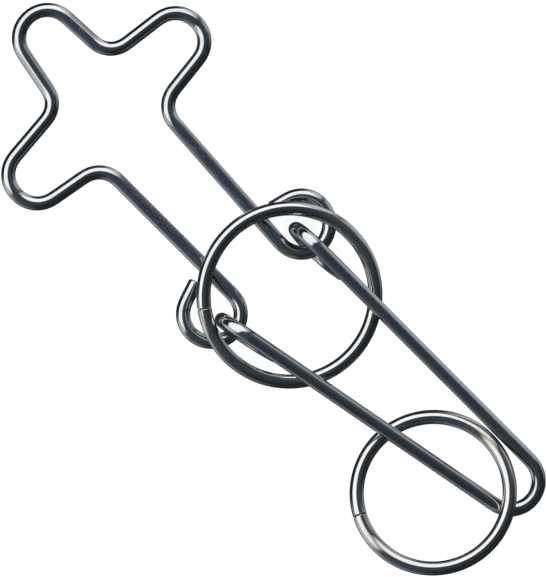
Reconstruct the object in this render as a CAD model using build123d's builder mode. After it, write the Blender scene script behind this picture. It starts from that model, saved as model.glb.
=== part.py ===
"""Bent-wire disentanglement puzzle: a cross-headed frame linked to a hairpin, with two loose rings.

The puzzle lies on a surface at z = 0 with its length along X: the cross head at -X, the hairpin's
bend at +X. All sizes are in millimetres and every piece is bent from the same round wire.
"""
import os
from math import asin, atan, cos, degrees, hypot, radians, sin

from build123d import *

# ---- wire and forming ----
WIRE = 2.5  # diameter of the round wire
FORM_R = 4.95  # centreline radius of every eye and of the hairpin's bend
EYE_WRAP = 250  # degrees that an eye turns before its straight tail
EYE_TAIL = 4.0  # straight end of an eye, which stops just short of its leg
TIGHT_EYE_WRAP = 258  # the frame's +Y eye is closed further
TIGHT_EYE_TAIL = 3.3
END_BREAK = 0.3  # chamfer on each cut wire end
SEAM = 0.3  # gap between the butted ends of a ring

# ---- cross-headed frame ----
HEAD_X = -39.35  # centre of the cross head
# Corners of the head about its centre, from the +Y leg round to the -Y leg: x, y and bend radius.
HEAD_CORNERS = [
    (5.7, 6.95, 4.5),
    (3.45, 22.05, 4.8),
    (-5.4, 21.3, 4.8),
    (-6.75, 6.5, 4.3),
    (-21.8, 5.35, 4.8),
    (-21.05, -3.45, 4.8),
    (-6.55, -5.8, 4.3),
    (-4.65, -21.6, 4.8),
    (4.15, -21.8, 4.8),
    (6.2, -7.25, 4.5),
]
TIP_REACH = 21.4  # head centre to the tip lobe's centreline
LEG_END_X = 37.4  # where the +Y leg runs into its eye, from the head centre
LEG_END_Y = 5.95
OTHER_LEG_END_X = 38.25
OTHER_LEG_END_Y = -6.2

# ---- hairpin ----
HAIRPIN_TURN = 7.9  # degrees between the hairpin's axis and X, seen from above
HAIRPIN_SPLAY = 5.25  # degrees between each leg and the hairpin's axis
HAIRPIN_REACH = 51.6  # bend centre to the eyes, along the hairpin's axis
BEND_X = HEAD_X + 94.8  # centre of the bend
BEND_Y = 7.2
BEND_LIFT = 1.45  # the small ring, wedged over the bend and under a leg, props it this high

# ---- large ring ----
LARGE_R = 15.0  # centreline radius
LARGE_CENTRE = (HEAD_X + 44.93, 0.8, 7.45)
LARGE_SLOPE = -6.8  # degrees, down towards the hairpin's bend
LARGE_SEAM = 236.0  # degrees from +X round to its butt joint

# ---- small ring ----
SMALL_R = 13.3
SMALL_X = HEAD_X + 87.0
SMALL_Y = -4.08
SMALL_SLOPE = 10.8  # degrees, up over the hairpin's bend
SMALL_SEAM = 244.0

# ---- how the wires stack ----
LINK_LIFT = 1.33  # the frame's eyes ride this far above the bottoms of the hairpin's eyes
FLOOR_Z = WIRE / 2  # centreline height of a wire that lies on the surface
LINK_Z = FLOOR_Z + WIRE + LINK_LIFT
FRAME_PITCH = asin((LINK_Z - FLOOR_Z) / (TIP_REACH + OTHER_LEG_END_X + FORM_R))
HAIRPIN_SPAN = HAIRPIN_REACH + FORM_R
HAIRPIN_PITCH = atan(FORM_R / HAIRPIN_SPAN) + asin((FORM_R - BEND_LIFT) / hypot(HAIRPIN_SPAN, FORM_R))


def pitched_plane(origin, pitch, heading=0.0):
    """A plane whose X axis points along heading, seen from above, and climbs by pitch."""
    return Plane(
        origin=origin,
        x_dir=(cos(heading) * cos(pitch), sin(heading) * cos(pitch), sin(pitch)),
        z_dir=(-cos(heading) * sin(pitch), -sin(heading) * sin(pitch), cos(pitch)),
    )


def eye_route(leg_end, heading, curl_to, wrap, tail):
    """An eye that carries on from a leg along heading, curls round to one side and ends in its tail."""
    with BuildLine(Plane(origin=leg_end, x_dir=heading, z_dir=heading.cross(curl_to))) as route:
        loop = JernArc(start=(0, 0), tangent=(1, 0), radius=FORM_R, arc_size=wrap)
        Line(loop @ 1, loop @ 1 + (loop % 1) * tail)
    return route.edges()


def eyes_on_both_ends(spine, curl_ends, first_shape=(EYE_WRAP, EYE_TAIL)):
    """The whole route of a wire: its spine, with an eye curled on at each end."""
    first_curl, last_curl = curl_ends
    first_eye = eye_route(spine @ 0, -(spine % 0), first_curl, *first_shape)
    last_eye = eye_route(spine @ 1, spine % 1, last_curl, EYE_WRAP, EYE_TAIL)
    return Wire(first_eye + spine.edges() + last_eye)


def ring_route(plane, radius, seam_angle):
    """The centreline of a ring, open by its seam."""
    half_seam = degrees(SEAM / radius) / 2
    with BuildLine(plane) as route:
        CenterArc((0, 0), radius, seam_angle - half_seam, 2 * half_seam - 360)
    return route.wire()


def section_plane(route):
    """The plane of a wire's first cut end."""
    return Plane(origin=route @ 0, z_dir=route % 0)


def cut_end_edges(piece):
    """The sharp edges round a wire's two cut ends."""
    return piece.faces().filter_by(GeomType.PLANE).edges()


# ---- cross_frame: one wire, from eye to eye round the cross head ----
frame_plane = pitched_plane((HEAD_X, 0, FLOOR_Z + TIP_REACH * sin(FRAME_PITCH)), FRAME_PITCH)

with BuildPart() as cross_frame:
    with BuildLine(frame_plane, mode=Mode.PRIVATE) as head_line:
        FilletPolyline(
            (LEG_END_X, LEG_END_Y),
            *[(x, y) for x, y, _ in HEAD_CORNERS],
            (OTHER_LEG_END_X, OTHER_LEG_END_Y),
            radius=[radius for _, _, radius in HEAD_CORNERS],
        )
    eye_sides = (frame_plane.y_dir, -frame_plane.y_dir)
    frame_route = eyes_on_both_ends(head_line.wire(), eye_sides, (TIGHT_EYE_WRAP, TIGHT_EYE_TAIL))
    with BuildSketch(section_plane(frame_route)):
        Circle(WIRE / 2)
    sweep(path=frame_route)
    chamfer(cut_end_edges(cross_frame), END_BREAK)

# ---- hairpin: one wire, with its two eyes standing across the plane of its legs ----
bend_centre = (BEND_X, BEND_Y, FLOOR_Z + BEND_LIFT + FORM_R * sin(HAIRPIN_PITCH))
hairpin_plane = pitched_plane(bend_centre, HAIRPIN_PITCH, radians(180 + HAIRPIN_TURN))
splay = radians(HAIRPIN_SPLAY)
leg_length = (HAIRPIN_REACH + FORM_R * sin(splay)) / cos(splay)

with BuildPart() as hairpin:
    with BuildLine(hairpin_plane, mode=Mode.PRIVATE) as bend_line:
        bend = CenterArc((0, 0), FORM_R, 90 + HAIRPIN_SPLAY, 180 - 2 * HAIRPIN_SPLAY)
        Line(bend @ 0, bend @ 0 - (bend % 0) * leg_length)
        Line(bend @ 1, bend @ 1 + (bend % 1) * leg_length)
    hairpin_route = eyes_on_both_ends(bend_line.wire(), (-hairpin_plane.z_dir, -hairpin_plane.z_dir))
    with BuildSketch(section_plane(hairpin_route)):
        Circle(WIRE / 2)
    sweep(path=hairpin_route)
    chamfer(cut_end_edges(hairpin), END_BREAK)

# ---- large_ring: loose round the linkage, over the frame and under the hairpin ----
with BuildPart() as large_ring:
    large_plane = pitched_plane(LARGE_CENTRE, radians(LARGE_SLOPE))
    large_route = ring_route(large_plane, LARGE_R, LARGE_SEAM)
    with BuildSketch(section_plane(large_route)):
        Circle(WIRE / 2)
    sweep(path=large_route)
    chamfer(cut_end_edges(large_ring), END_BREAK)

# ---- small_ring: threaded on the hairpin beside its bend ----
with BuildPart() as small_ring:
    small_pitch = radians(SMALL_SLOPE)
    small_centre = (SMALL_X, SMALL_Y, FLOOR_Z + SMALL_R * sin(small_pitch))
    small_route = ring_route(pitched_plane(small_centre, small_pitch), SMALL_R, SMALL_SEAM)
    with BuildSketch(section_plane(small_route)):
        Circle(WIRE / 2)
    sweep(path=small_route)
    chamfer(cut_end_edges(small_ring), END_BREAK)

cross_frame.part.label = "cross_frame"
hairpin.part.label = "hairpin"
large_ring.part.label = "large_ring"
small_ring.part.label = "small_ring"

os.makedirs("parts", exist_ok=True)
export_step(cross_frame.part, "parts/cross_frame.step")
export_step(hairpin.part, "parts/hairpin.step")
export_step(large_ring.part, "parts/large_ring.step")
export_step(small_ring.part, "parts/small_ring.step")
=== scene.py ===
"""The bent-wire puzzle's looks: four bright plated wires on a white light table, from above.

Each wire is swept as a fine mesh along its route in the CAD model, with its cut ends broken, and
its plating is procedural. Places and sizes are in metres, in the part's own frame.
"""
import math

import bpy
import numpy as np
from mathutils import Matrix, Vector


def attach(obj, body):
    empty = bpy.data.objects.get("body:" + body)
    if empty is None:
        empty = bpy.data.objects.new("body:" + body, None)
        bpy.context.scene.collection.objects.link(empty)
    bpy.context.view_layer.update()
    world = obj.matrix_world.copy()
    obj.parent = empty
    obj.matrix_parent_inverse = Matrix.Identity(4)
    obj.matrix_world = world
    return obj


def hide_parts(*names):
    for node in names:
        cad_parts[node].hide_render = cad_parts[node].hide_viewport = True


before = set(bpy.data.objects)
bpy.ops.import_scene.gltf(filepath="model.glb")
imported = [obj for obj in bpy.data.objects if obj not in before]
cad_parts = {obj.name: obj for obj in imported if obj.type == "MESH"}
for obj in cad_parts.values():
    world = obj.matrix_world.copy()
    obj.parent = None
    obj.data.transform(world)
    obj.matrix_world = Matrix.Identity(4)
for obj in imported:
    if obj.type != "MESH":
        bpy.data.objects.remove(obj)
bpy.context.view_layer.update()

# ---- the wires, as in the CAD model ----
WIRE_R = 0.00125
FORM_R = 0.00495  # centreline radius of the eyes and of the hairpin's bend
EYE_WRAP = 250  # degrees that an eye turns before its straight tail
EYE_TAIL = 0.0040
TIGHT_EYE_WRAP = 258  # the frame's +Y eye is closed further
TIGHT_EYE_TAIL = 0.0033
END_BREAK = 0.0003  # how far the edge of a cut end is broken
RING_END_BREAK = 0.00012
RING_END_GAP = 0.00010  # between a ring's two ends
HEAD_X = -0.03935
HEAD_CORNERS = [  # x and y from the head's centre, and the radius of the bend there
    (0.0057, 0.00695, 0.0045),
    (0.00345, 0.02205, 0.0048),
    (-0.0054, 0.0213, 0.0048),
    (-0.00675, 0.0065, 0.0043),
    (-0.0218, 0.00535, 0.0048),
    (-0.02105, -0.00345, 0.0048),
    (-0.00655, -0.0058, 0.0043),
    (-0.00465, -0.0216, 0.0048),
    (0.00415, -0.0218, 0.0048),
    (0.0062, -0.00725, 0.0045),
]
TIP_REACH = 0.0214
LEG_END_X = 0.0374
LEG_END_Y = 0.00595
OTHER_LEG_END_X = 0.03825
OTHER_LEG_END_Y = -0.0062
HAIRPIN_TURN = 7.9
HAIRPIN_SPLAY = 5.25
HAIRPIN_REACH = 0.0516
BEND_X = HEAD_X + 0.0948
BEND_Y = 0.0072
BEND_LIFT = 0.00145
LARGE_R = 0.015
LARGE_CENTRE = (HEAD_X + 0.04493, 0.0008, 0.00745)
LARGE_SLOPE = -6.8
LARGE_SEAM = 236.0  # degrees round to its butt joint
SMALL_R = 0.0133
SMALL_X = HEAD_X + 0.087
SMALL_Y = -0.00408
SMALL_SLOPE = 10.8
SMALL_SEAM = 244.0
LINK_LIFT = 0.00133
LINK_Z = 3 * WIRE_R + LINK_LIFT
FRAME_PITCH = math.asin((LINK_Z - WIRE_R) / (TIP_REACH + OTHER_LEG_END_X + FORM_R))
HAIRPIN_SPAN = HAIRPIN_REACH + FORM_R
BEND_RISE = math.asin((FORM_R - BEND_LIFT) / math.hypot(HAIRPIN_SPAN, FORM_R))
HAIRPIN_PITCH = math.atan(FORM_R / HAIRPIN_SPAN) + BEND_RISE

# ---- how finely a wire is drawn ----
STEP = 0.00035  # between stations along a wire
SIDES = 48
EASING = 0.0006  # how far a bend runs into the straight beside it
RUB_REACH = 0.0016  # wires nearer than this have rubbed one another
END_BLEND = 1.6  # the plain wire begins this many end breaks in from a cut end
CUT_REACH = 1.3  # the bare sheared metal reaches this many end breaks in

# ---- the plating ----
BRIGHT_TONES = ((0.50, 0.51, 0.53), (0.45, 0.46, 0.48))
RING_TONES = ((0.52, 0.52, 0.52), (0.47, 0.47, 0.475))
BRIGHT_ROUGHNESS = 0.07
RING_ROUGHNESS = 0.06
SCRATCH_COLOUR = (0.72, 0.72, 0.71)
RUBBED_COLOUR = (0.58, 0.56, 0.53)
SHEARED_COLOUR = (0.36, 0.34, 0.32)
LINE_HEIGHT = 0.00000055
MOTTLE_HEIGHT = 0.0000022
CRIMP_HEIGHT = 0.0000022
SCRATCH_DEPTH = 0.0000016
SHEAR_HEIGHT = 0.00008

# ---- the view ----
TARGET = Vector((0.0028, -0.0003, 0.0040))
VIEW_TURN = 47.11
VIEW_TILT = 3.9
VIEW_DISTANCE = 1.2
VIEW_HEIGHT = 0.1001
SENSOR_HEIGHT = 24.0  # millimetres

# ---- the studio ----
LIGHT_DISTANCE = 1.4
LIGHT_LENGTH = 3.8
SOFTBOXES = [  # name, degrees down from overhead to its top and its bottom, radiance, colour
    ("softbox", 24.5, 70.0, 1.80, (1.0, 1.0, 1.0)),
    ("softbox_fade", 18.5, 24.5, 1.50, (1.0, 0.99, 0.97)),
    ("softbox_edge", 16.0, 18.5, 0.75, (1.0, 0.84, 0.66)),
]
OVERHEAD_REACH = 55.0  # degrees to either side of overhead
OVERHEAD_LENGTH = 4.0
OVERHEAD_RADIANCE = 0.7
TABLE_SIZE = 16.0
TABLE_TONES = ((0.90, 0.90, 0.895), (0.93, 0.93, 0.93))
TABLE_GLOW = 0.82
BACKDROP_R = 9.0
BACKDROP_COLOUR = (0.93, 0.935, 0.94, 1.0)
ROOM_ABOVE = (0.060, 0.082, 0.102)
ROOM_BESIDE = (0.080, 0.108, 0.138)
ROOM_ENDS = (0.032, 0.037, 0.040)
GLOW_TONES = ((0.34, 0.36, 0.38), (0.66, 0.68, 0.70))
CARD_X = 0.11
CARD_COLOUR = (0.62, 0.64, 0.66)
WING_COLOUR = (0.96, 0.95, 0.93)


def unit(v):
    """v at length 1."""
    return v / np.linalg.norm(v)


def pitched_axes(pitch, heading=0.0):
    """Axes: one that climbs by pitch along heading, one level and to its left, and their normal."""
    flat = np.array([math.cos(heading), math.sin(heading), 0.0])
    up = np.array([0.0, 0.0, 1.0])
    along = flat * math.cos(pitch) + up * math.sin(pitch)
    normal = up * math.cos(pitch) - flat * math.sin(pitch)
    return along, np.cross(normal, along), normal


def arc(centre, start, sideways, angle):
    """Points round centre from centre + start, turning towards sideways by angle."""
    steps = max(8, int(angle * np.linalg.norm(start) / STEP * 8))
    turns = np.linspace(0.0, angle, steps)
    return [centre + start * math.cos(t) + sideways * math.sin(t) for t in turns]


def filleted(corners, radii):
    """A route through corners, with each inner one rounded to its radius."""
    points = [corners[0]]
    for before, corner, after, radius in zip(corners, corners[1:], corners[2:], radii):
        back, onward = unit(before - corner), unit(after - corner)
        half = math.acos(float(back @ onward)) / 2
        centre = corner + unit(back + onward) * radius / math.sin(half)
        start = corner + back * radius / math.tan(half) - centre
        points += arc(centre, start, -back * radius, math.pi - 2 * half)
    return points + [corners[-1]]


def eye(leg_end, heading, curl, wrap, tail):
    """An eye that carries on from a leg along heading, curls towards curl and ends in its tail."""
    wrap = math.radians(wrap)
    loop = arc(leg_end + curl * FORM_R, -curl * FORM_R, heading * FORM_R, wrap)
    tail_heading = heading * math.cos(wrap) + curl * math.sin(wrap)
    return loop + [loop[-1] + tail_heading * tail]


def resampled(points, step):
    """The same route with a point at every step."""
    points = np.array(points)
    runs = np.linalg.norm(np.diff(points, axis=0), axis=1)
    points = points[np.concatenate([[True], runs > 1e-9])]
    reach = np.concatenate([[0.0], np.cumsum(np.linalg.norm(np.diff(points, axis=0), axis=1))])
    stations = np.linspace(0.0, reach[-1], int(reach[-1] / step) + 1)
    return np.stack([np.interp(stations, reach, points[:, k]) for k in range(3)], axis=1)


def eased(route):
    """The route with its turns run into its straights, as bent wire does, and its ends kept."""
    reach = int(3 * EASING / STEP) + 1
    weights = np.exp(-0.5 * (np.arange(-reach, reach + 1) * STEP / EASING) ** 2)
    weights /= weights.sum()
    before = 2 * route[0] - route[reach:0:-1]
    after = 2 * route[-1] - route[-2:-reach - 2:-1]
    padded = np.concatenate([before, route, after])
    return np.stack([np.convolve(padded[:, k], weights, mode="valid") for k in range(3)], axis=1)


def with_eyes(spine, first_curl, last_curl, first_shape=(EYE_WRAP, EYE_TAIL)):
    """A whole wire: its spine, with an eye at each end."""
    first_eye = eye(spine[0], unit(spine[0] - spine[1]), first_curl, *first_shape)
    last_eye = eye(spine[-1], unit(spine[-1] - spine[-2]), last_curl, EYE_WRAP, EYE_TAIL)
    return eased(resampled(first_eye[::-1] + spine[1:-1] + last_eye, STEP))


def frame_route():
    """The cross frame, from eye to eye round its head."""
    along, across, _ = pitched_axes(FRAME_PITCH)
    origin = np.array([HEAD_X, 0.0, WIRE_R + TIP_REACH * math.sin(FRAME_PITCH)])

    def place(x, y):
        return origin + along * x + across * y

    head = [place(x, y) for x, y, _ in HEAD_CORNERS]
    corners = [place(LEG_END_X, LEG_END_Y), *head, place(OTHER_LEG_END_X, OTHER_LEG_END_Y)]
    radii = [radius for _, _, radius in HEAD_CORNERS]
    spine = filleted(corners, radii)
    return with_eyes(spine, across, -across, (TIGHT_EYE_WRAP, TIGHT_EYE_TAIL))


def hairpin_route():
    """The hairpin, from eye to eye round its bend."""
    along, across, normal = pitched_axes(HAIRPIN_PITCH, math.radians(180 + HAIRPIN_TURN))
    centre = np.array([BEND_X, BEND_Y, WIRE_R + BEND_LIFT + FORM_R * math.sin(HAIRPIN_PITCH)])
    splay = math.radians(HAIRPIN_SPLAY)
    leg_length = (HAIRPIN_REACH + FORM_R * math.sin(splay)) / math.cos(splay)
    headings, starts = [], []
    for side in (1, -1):
        headings.append(along * math.cos(splay) + across * side * math.sin(splay))
        starts.append(across * side * math.cos(splay) * FORM_R - along * math.sin(splay) * FORM_R)
    bend = arc(centre, starts[0], -headings[0] * FORM_R, math.pi - 2 * splay)
    first = centre + starts[0] + headings[0] * leg_length
    last = centre + starts[1] + headings[1] * leg_length
    return with_eyes([first, *bend, last], -normal, -normal)


def ring_route(centre, radius, slope, seam_angle):
    """A ring, from one side of its butt joint round to the other."""
    along, across, _ = pitched_axes(math.radians(slope))
    half_seam = RING_END_GAP / radius / 2
    begin = math.radians(seam_angle) + half_seam
    start = (along * math.cos(begin) + across * math.sin(begin)) * radius
    sideways = (across * math.cos(begin) - along * math.sin(begin)) * radius
    return resampled(arc(np.array(centre), start, sideways, 2 * math.pi - 2 * half_seam), STEP)


def tangents_along(route):
    """The wire's heading at each station of its route."""
    tangents = np.gradient(route, axis=0)
    return tangents / np.linalg.norm(tangents, axis=1)[:, None]


def wire_rings(route, end_break):
    """The rings of a wire's mesh, end to end: (centre, tangent, radius, how far along)."""
    tangents = tangents_along(route)
    length = (len(route) - 1) * np.linalg.norm(np.diff(route, axis=0), axis=1).mean()
    reach = np.linspace(0.0, length, len(route))
    margin = end_break * END_BLEND
    inside = [i for i in range(len(route)) if margin < reach[i] < length - margin]
    body = [(route[i], tangents[i], WIRE_R, reach[i]) for i in inside]
    edge = end_break / WIRE_R
    # a cut end: how many end breaks in, and the wire's size there
    profile = [(0.0, 0.3), (0.0, 0.96 - edge), (0.0, 0.995 - edge), (0.04, 1.025 - edge)]
    profile += [(0.5, 1.0 - edge * 0.4), (0.92, 1.0 - edge * 0.06), (1.05, 1.0 - edge * 0.01), (1.2, 1.0)]

    def end(point, tangent, at, sign):
        rings = []
        for depth, size in profile:
            centre = point + tangent * sign * depth * end_break
            rings.append((centre, tangent, WIRE_R * size, at + sign * depth * end_break))
        return rings if sign > 0 else rings[::-1]

    return end(route[0], tangents[0], 0.0, 1) + body + end(route[-1], tangents[-1], length, -1)


def nearness(points, others, reach):
    """How near each point is to any of the others: 1 at touching wires, 0 at reach beyond that."""
    gap = np.array([np.sqrt(((others - p) ** 2).sum(axis=1).min()) for p in points]) - 2 * WIRE_R
    return np.clip(1.0 - gap / reach, 0.0, 1.0)


def tube_faces(count):
    """Faces between count rings of points, and a fan over each end round a centre point."""
    faces = []
    for i in range(count - 1):
        for k in range(SIDES):
            n = (k + 1) % SIDES
            faces.append((i * SIDES + k, i * SIDES + n, (i + 1) * SIDES + n, (i + 1) * SIDES + k))
    last = (count - 1) * SIDES
    hub = count * SIDES
    faces += [(hub, (k + 1) % SIDES, k) for k in range(SIDES)]
    faces += [(hub + 1, last + k, last + (k + 1) % SIDES) for k in range(SIDES)]
    return faces


def wire_mesh(name, route, others, end_break):
    """A round wire along a route. Its vertices know their place on it, and its wear there."""
    rings = wire_rings(route, end_break)
    side = np.cross(rings[0][1], (0.3, 0.2, 0.9))
    angles = np.linspace(0.0, 2 * math.pi, SIDES, endpoint=False)
    points, places = [], []
    for centre, tangent, radius, reach in rings:
        side = unit(side - tangent * (side @ tangent))
        over = np.cross(tangent, side)
        for a in angles:
            points.append(centre + (side * math.cos(a) + over * math.sin(a)) * radius)
            places.append((math.cos(a) * radius, math.sin(a) * radius, reach))
    points += [rings[0][0], rings[-1][0]]
    places += [(0.0, 0.0, rings[0][3]), (0.0, 0.0, rings[-1][3])]

    mesh = bpy.data.meshes.new(name)
    mesh.from_pydata([tuple(p) for p in points], [], tube_faces(len(rings)))
    mesh.shade_smooth()
    bend, rub = station_marks(route, others)
    reaches = np.array([p[2] for p in places])
    length = reaches.max()
    last_station = len(route) - 1
    station = np.clip(np.round(reaches / length * last_station).astype(int), 0, last_station)
    from_end = np.minimum(reaches, length - reaches)
    cut = np.clip(1.0 - from_end / (end_break * CUT_REACH), 0.0, 1.0)
    store(mesh, "place", "FLOAT_VECTOR", "vector", np.array(places))
    store(mesh, "bend", "FLOAT", "value", bend[station])
    store(mesh, "rub", "FLOAT", "value", rub[station])
    store(mesh, "cut", "FLOAT", "value", cut)
    unwrap(mesh, places, length)
    piece = bpy.data.objects.new(name, mesh)
    bpy.context.scene.collection.objects.link(piece)
    return piece


def station_marks(route, others):
    """At each station of a route: how tightly the wire bends, and how near it is to other wires."""
    curvature = np.linalg.norm(np.gradient(tangents_along(route), axis=0), axis=1) / STEP
    bend = np.clip(curvature * FORM_R, 0.0, 1.0)
    return bend, nearness(route, others, RUB_REACH)


def store(mesh, name, kind, field, values):
    """A value at every vertex, for the materials."""
    attribute = mesh.attributes.new(name, kind, "POINT")
    attribute.data.foreach_set(field, np.asarray(values, dtype=np.float32).ravel())


def unwrap(mesh, places, length):
    """The wire laid flat: its turn across, its length up."""
    layer = mesh.uv_layers.new(name="UVMap")
    for polygon in mesh.polygons:
        turns = []
        for index in polygon.vertices:
            x, y, _ = places[index]
            turns.append(math.atan2(y, x) / (2 * math.pi) % 1.0)
        if max(turns) - min(turns) > 0.5:
            turns = [t + 1.0 if t < 0.5 else t for t in turns]
        for loop, index, turn in zip(polygon.loop_indices, polygon.vertices, turns):
            layer.data[loop].uv = (turn, places[index][2] / length)


# ---- materials ----
def node(tree, kind, **properties):
    """A new node, with its properties set."""
    made = tree.nodes.new(kind)
    for key, value in properties.items():
        setattr(made, key, value)
    return made


def attribute(tree, name):
    """A value that store() put at the wire's vertices."""
    return node(tree, "ShaderNodeAttribute", attribute_name=name)


def math_node(tree, operation, a, b, clamp=False):
    """operation of a and b, each a socket or a number."""
    made = node(tree, "ShaderNodeMath", operation=operation, use_clamp=clamp)
    for socket, value in zip(made.inputs, (a, b)):
        if isinstance(value, (int, float)):
            socket.default_value = value
        else:
            tree.links.new(value, socket)
    return made.outputs[0]


def times(tree, a, b):
    """a times b."""
    return math_node(tree, "MULTIPLY", a, b)


def plus(tree, a, b):
    """a plus b."""
    return math_node(tree, "ADD", a, b)


def mapped(tree, source, scale, turn=0.0, shift=0.0):
    """source stretched by scale, then turned and shifted."""
    made = node(tree, "ShaderNodeMapping")
    made.inputs["Scale"].default_value = scale
    made.inputs["Rotation"].default_value = (turn, 0.0, 0.0)
    made.inputs["Location"].default_value = (shift, shift, shift)
    tree.links.new(source, made.inputs["Vector"])
    return made.outputs[0]


def noise(tree, vector, detail, roughness=0.55):
    """Noise at the size that vector was mapped to."""
    made = node(tree, "ShaderNodeTexNoise")
    made.inputs["Scale"].default_value = 1.0
    made.inputs["Detail"].default_value = detail
    made.inputs["Roughness"].default_value = roughness
    tree.links.new(vector, made.inputs["Vector"])
    return made.outputs["Fac"]


def ranged(tree, value, low, high, to_low=0.0, to_high=1.0):
    """value from low..high to to_low..to_high, clamped, with a smooth step."""
    made = node(tree, "ShaderNodeMapRange", interpolation_type="SMOOTHSTEP")
    for key, number in (("From Min", low), ("From Max", high), ("To Min", to_low), ("To Max", to_high)):
        made.inputs[key].default_value = number
    tree.links.new(value, made.inputs["Value"])
    return made.outputs["Result"]


def mixed(tree, factor, a, b):
    """Colour a at factor 0, b at factor 1."""
    made = node(tree, "ShaderNodeMix", data_type="RGBA")
    tree.links.new(factor, made.inputs["Factor"])
    for socket, value in ((made.inputs[6], a), (made.inputs[7], b)):
        if isinstance(value, tuple):
            socket.default_value = (*value, 1.0)
        else:
            tree.links.new(value, socket)
    return made.outputs[2]


def wear_lines(tree, place, shift):
    """The marks of drawing and handling: lines, mottle, cloud and scratches."""
    lines = noise(tree, mapped(tree, place, (7000, 7000, 90), shift=shift), detail=4)
    blotch = mapped(tree, place, (900, 900, 420), shift=shift + 3)
    mottle = noise(tree, blotch, detail=4, roughness=0.6)
    cloud = noise(tree, mapped(tree, place, (260, 260, 80), shift=shift + 7), detail=2)
    across = mapped(tree, place, (1500, 1500, 14000), turn=0.5, shift=shift + 5)
    aslant = mapped(tree, place, (12000, 1800, 700), turn=-0.7, shift=shift + 9)
    first = ranged(tree, noise(tree, across, detail=1), 0.70, 0.76)
    second = ranged(tree, noise(tree, aslant, detail=1), 0.71, 0.77)
    scratches = math_node(tree, "MAXIMUM", first, second)
    return lines, mottle, cloud, times(tree, scratches, ranged(tree, mottle, 0.45, 0.60))


def plated_wire(name, shift, tones, roughness):
    """Drawn steel wire under bright plating: drawing lines, scratches, rubbed spots, sheared ends."""
    material = bpy.data.materials.new(name)
    material.use_nodes = True
    tree = material.node_tree
    shader = tree.nodes["Principled BSDF"]
    shader.inputs["Metallic"].default_value = 1.0
    place = attribute(tree, "place").outputs["Vector"]
    bend = attribute(tree, "bend").outputs["Fac"]
    rub = attribute(tree, "rub").outputs["Fac"]
    cut = attribute(tree, "cut").outputs["Fac"]
    lines, mottle, cloud, scratches = wear_lines(tree, place, shift)

    tone = mixed(tree, ranged(tree, cloud, 0.35, 0.68), *tones)
    tone = mixed(tree, times(tree, scratches, 0.35), tone, SCRATCH_COLOUR)
    rubbed = times(tree, rub, ranged(tree, mottle, 0.40, 0.62))
    tone = mixed(tree, rubbed, tone, RUBBED_COLOUR)
    tone = mixed(tree, cut, tone, SHEARED_COLOUR)
    tree.links.new(tone, shader.inputs["Base Color"])

    rough = ranged(tree, mottle, 0.30, 0.72, roughness * 0.75, roughness * 1.5)
    rough = plus(tree, rough, times(tree, ranged(tree, lines, 0.5, 0.8), 0.04))
    rough = plus(tree, rough, times(tree, scratches, 0.12))
    rough = plus(tree, rough, times(tree, rub, 0.06))
    rough = math_node(tree, "ADD", rough, times(tree, cut, 0.30), clamp=True)
    tree.links.new(rough, shader.inputs["Roughness"])

    peel = noise(tree, mapped(tree, place, (2600, 2600, 2600), shift=shift + 11), detail=2)
    shear = noise(tree, mapped(tree, place, (900, 9000, 900), shift=shift + 2), detail=3)
    height = times(tree, lines, LINE_HEIGHT)
    height = plus(tree, height, times(tree, mottle, MOTTLE_HEIGHT))
    height = plus(tree, height, times(tree, peel, times(tree, bend, CRIMP_HEIGHT)))
    height = math_node(tree, "SUBTRACT", height, times(tree, scratches, SCRATCH_DEPTH))
    height = plus(tree, height, times(tree, cut, times(tree, shear, SHEAR_HEIGHT)))
    bump = node(tree, "ShaderNodeBump")
    bump.inputs["Strength"].default_value = 1.0
    bump.inputs["Distance"].default_value = 1.0
    tree.links.new(height, bump.inputs["Height"])
    tree.links.new(bump.outputs["Normal"], shader.inputs["Normal"])
    return material


def floor_material():
    """A matt white light table with the faintest tooth."""
    material = bpy.data.materials.new("pale_board")
    material.use_nodes = True
    tree = material.node_tree
    shader = tree.nodes["Principled BSDF"]
    shader.inputs["Roughness"].default_value = 0.9
    shader.inputs["Specular IOR Level"].default_value = 0.1
    place = node(tree, "ShaderNodeTexCoord").outputs["Object"]
    tooth = noise(tree, mapped(tree, place, (900, 900, 900)), detail=4)
    tone = mixed(tree, ranged(tree, tooth, 0.3, 0.7), *TABLE_TONES)
    tree.links.new(tone, shader.inputs["Base Color"])
    tree.links.new(tone, shader.inputs["Emission Color"])
    shader.inputs["Emission Strength"].default_value = TABLE_GLOW
    return material


# ---- the studio ----
def add_floor():
    """The light table that the puzzle lies on, with its pale backdrop far behind it."""
    bpy.ops.mesh.primitive_plane_add(size=TABLE_SIZE, location=(0.0, 0.0, 0.0))
    floor = bpy.context.active_object
    floor.name = "floor"
    floor.data.materials.append(floor_material())
    floor.visible_glossy = False
    bpy.ops.mesh.primitive_uv_sphere_add(radius=BACKDROP_R, location=(0.0, 0.0, 0.0))
    backdrop = bpy.context.active_object
    backdrop.name = "backdrop"
    material = bpy.data.materials.new("pale_backdrop")
    material.use_nodes = True
    tree = material.node_tree
    tree.nodes.remove(tree.nodes["Principled BSDF"])
    glow = node(tree, "ShaderNodeEmission")
    glow.inputs["Color"].default_value = BACKDROP_COLOUR
    tree.links.new(glow.outputs[0], tree.nodes["Material Output"].inputs["Surface"])
    backdrop.data.materials.append(material)
    for ray in ("diffuse", "glossy", "transmission", "volume_scatter", "shadow"):
        setattr(backdrop, "visible_" + ray, False)


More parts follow.
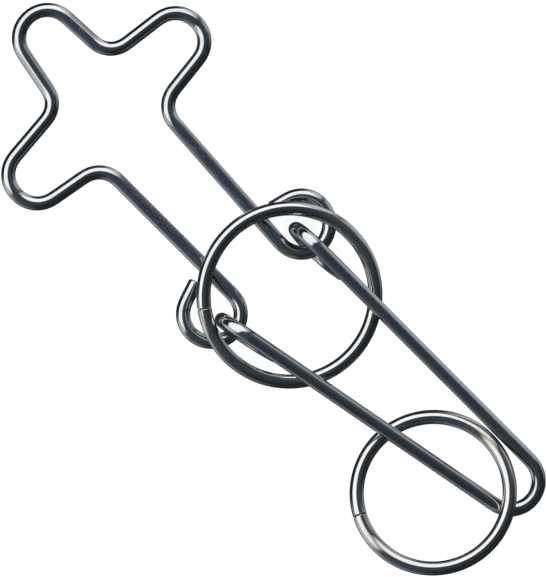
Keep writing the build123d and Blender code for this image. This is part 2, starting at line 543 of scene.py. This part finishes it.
def add_panel(name, high, low, length, radiance, colour=(1.0, 1.0, 1.0)):
    """A long level softbox on the -X side that fills high to low degrees down from overhead."""
    lean, half = math.radians((high + low) / 2), math.radians((low - high) / 2)
    across = Vector((0.0, 1.0, 0.0))
    towards = Vector((-math.sin(lean), 0.0, math.cos(lean)))
    light = bpy.data.lights.new(name, "AREA")
    light.shape = "RECTANGLE"
    light.size = length
    light.size_y = 2 * LIGHT_DISTANCE * math.tan(half)
    light.energy = radiance * math.pi * light.size * light.size_y
    light.color = colour
    panel = bpy.data.objects.new(name, light)
    turned = Matrix((across, towards.cross(across), towards)).transposed().to_4x4()
    panel.matrix_world = Matrix.Translation(towards * LIGHT_DISTANCE) @ turned
    panel.visible_camera = False
    bpy.context.scene.collection.objects.link(panel)
    return panel


def add_lights():
    """A long softbox that the wires mirror, fading to a warm edge, and one that lights the table."""
    for name, high, low, radiance, colour in SOFTBOXES:
        panel = add_panel(name, high, low, LIGHT_LENGTH, radiance, colour)
        panel.visible_diffuse = False
    span = (-OVERHEAD_REACH, OVERHEAD_REACH)
    overhead = add_panel("overhead", *span, OVERHEAD_LENGTH, OVERHEAD_RADIANCE)
    overhead.visible_glossy = False
    add_surroundings()


def add_surroundings():
    """A dark room, bluer to the sides, with the table's glow, a card and a wing low down."""
    world = bpy.data.worlds.new("studio")
    world.use_nodes = True
    bpy.context.scene.world = world
    tree = world.node_tree
    way = node(tree, "ShaderNodeSeparateXYZ")
    tree.links.new(node(tree, "ShaderNodeTexCoord").outputs["Generated"], way.inputs[0])
    x, y, z = way.outputs
    beside = math_node(tree, "ABSOLUTE", y, 0.0)
    endways = math_node(tree, "ABSOLUTE", x, 0.0)
    tone = mixed(tree, ranged(tree, beside, 0.15, 0.75), ROOM_ABOVE, ROOM_BESIDE)
    tone = mixed(tree, ranged(tree, endways, 0.12, 0.60), tone, ROOM_ENDS)
    corner = ranged(tree, times(tree, x, y), -0.09, 0.02)
    low = times(tree, ranged(tree, z, 0.42, -0.40), ranged(tree, beside, 0.60, 0.95))
    tone = mixed(tree, low, tone, mixed(tree, corner, *GLOW_TONES))
    from_card = math_node(tree, "ABSOLUTE", math_node(tree, "SUBTRACT", x, CARD_X), 0.0)
    card = times(tree, ranged(tree, from_card, 0.22, 0.12), ranged(tree, y, 0.5, 0.8))
    tone = mixed(tree, times(tree, card, ranged(tree, z, 0.72, 0.15)), tone, CARD_COLOUR)
    wing = times(tree, ranged(tree, x, -0.12, -0.26), ranged(tree, beside, 0.70, 0.90))
    tone = mixed(tree, times(tree, wing, ranged(tree, z, 0.62, 0.30)), tone, WING_COLOUR)
    tree.links.new(tone, tree.nodes["Background"].inputs["Color"])


def add_camera():
    """A long lens nearly overhead, leaning towards the -Y side."""
    data = bpy.data.cameras.new("camera")
    camera = bpy.data.objects.new("camera", data)
    lean, turn = math.radians(VIEW_TILT), math.radians(VIEW_TURN)
    back = Vector((0.0, -math.sin(lean), math.cos(lean)))
    right = Vector((math.cos(turn), math.sin(turn), 0.0))
    up = back.cross(right).normalized()
    right = up.cross(back).normalized()
    turned = Matrix((right, up, back)).transposed().to_4x4()
    camera.matrix_world = Matrix.Translation(TARGET + back * VIEW_DISTANCE) @ turned
    data.sensor_fit = "VERTICAL"
    data.sensor_height = SENSOR_HEIGHT
    data.lens = data.sensor_height * VIEW_DISTANCE / VIEW_HEIGHT
    data.clip_start = 0.01
    data.clip_end = 50.0
    bpy.context.scene.collection.objects.link(camera)
    bpy.context.scene.camera = camera


def add_wires():
    """The four wires in their plating, each riding on its own body."""
    small_z = WIRE_R + SMALL_R * math.sin(math.radians(SMALL_SLOPE))
    routes = {
        "cross_frame": frame_route(),
        "hairpin": hairpin_route(),
        "large_ring": ring_route(LARGE_CENTRE, LARGE_R, LARGE_SLOPE, LARGE_SEAM),
        "small_ring": ring_route((SMALL_X, SMALL_Y, small_z), SMALL_R, SMALL_SLOPE, SMALL_SEAM),
    }
    plating = {
        "bright_wire": plated_wire("bright_plating", 0.0, BRIGHT_TONES, BRIGHT_ROUGHNESS),
        "ring_wire": plated_wire("ring_plating", 40.0, RING_TONES, RING_ROUGHNESS),
    }
    for name, route in routes.items():
        others = np.concatenate([r for other, r in routes.items() if other != name])
        is_ring = name.endswith("ring")
        wire = wire_mesh(name + "_wire", route, others, RING_END_BREAK if is_ring else END_BREAK)
        slot = "ring_wire" if is_ring else "bright_wire"
        wire.data.materials.append(plating[slot])
        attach(wire, name)
        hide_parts(name)


add_wires()
add_floor()
add_lights()
add_camera()
bpy.context.scene.view_settings.view_transform = "Standard"
